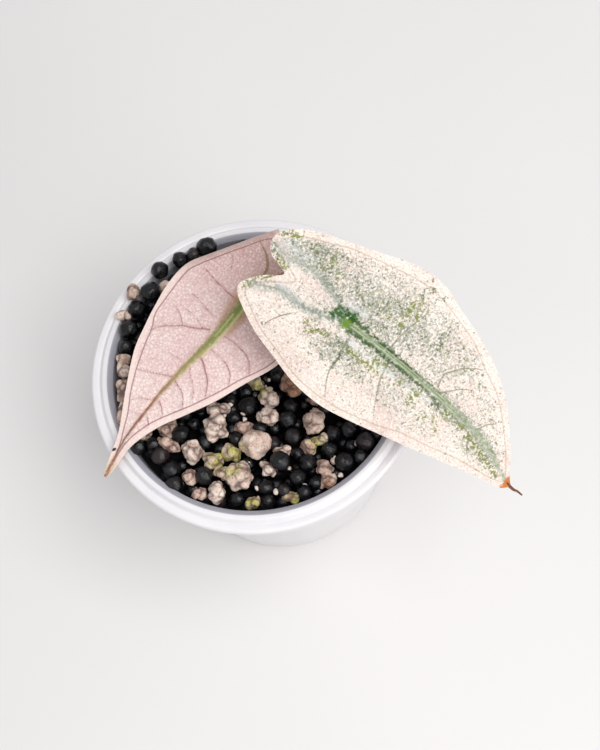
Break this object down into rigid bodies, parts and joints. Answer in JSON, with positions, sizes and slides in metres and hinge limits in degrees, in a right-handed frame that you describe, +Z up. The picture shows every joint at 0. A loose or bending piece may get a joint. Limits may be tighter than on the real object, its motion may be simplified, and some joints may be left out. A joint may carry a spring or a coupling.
{
  "type": "potted variegated alocasia plant",
  "caption": "Small alocasia with heart shaped leaves, one cream and green, one pink, growing from a corm in a round milky plastic pot of black pellets and pumice.",
  "frame": {"origin": "centre of the pot's flat base, on the surface that it stands on", "axes": "+Z up along the pot's axis, and the picture looks down from the -Y side with +X to the right"},
  "size_m": [0.1114, 0.1053, 0.121],
  "materials": {
    "milky_plastic": "satin, milky white, faintly translucent at the lip",
    "black_pellets": "smooth baked clay pellets, damp, dark blue-black",
    "pumice": "matt, pitted, pale tan with some green algae",
    "corm": "matt brown papery bark",
    "petiole": "fleshy green stalk with a soft sheen",
    "variegated_leaf": "leathery cream leaf, flecked with green",
    "pink_leaf": "soft pink leaf underside with dark red veins"
  },
  "bodies": {
    "root": {"pot": "milky_plastic", "potting_mix": "black_pellets", "pumice_01": "pumice", "pumice_02": "pumice", "pumice_03": "pumice", "pumice_04": "pumice", "pumice_05": "pumice", "pumice_06": "pumice", "pumice_07": "pumice", "pumice_08": "pumice", "pumice_09": "pumice", "pumice_10": "pumice", "pumice_11": "pumice", "pumice_12": "pumice", "pumice_13": "pumice", "pumice_14": "pumice", "pumice_15": "pumice", "pumice_16": "pumice", "pumice_17": "pumice", "pumice_18": "pumice", "pumice_19": "pumice", "pumice_20": "pumice", "pumice_21": "pumice", "pumice_22": "pumice", "pumice_23": "pumice", "pumice_24": "pumice", "pumice_25": "pumice", "pumice_26": "pumice", "pumice_27": "pumice", "pumice_28": "pumice", "pumice_29": "pumice", "pumice_30": "pumice", "pumice_31": "pumice", "pumice_32": "pumice", "pumice_33": "pumice", "pumice_34": "pumice", "pumice_35": "pumice", "pumice_36": "pumice", "corm": "corm", "petiole_variegated": "petiole", "leaf_variegated": "variegated_leaf", "petiole_pink": "petiole", "leaf_pink": "pink_leaf"}
  },
  "joints": []
}
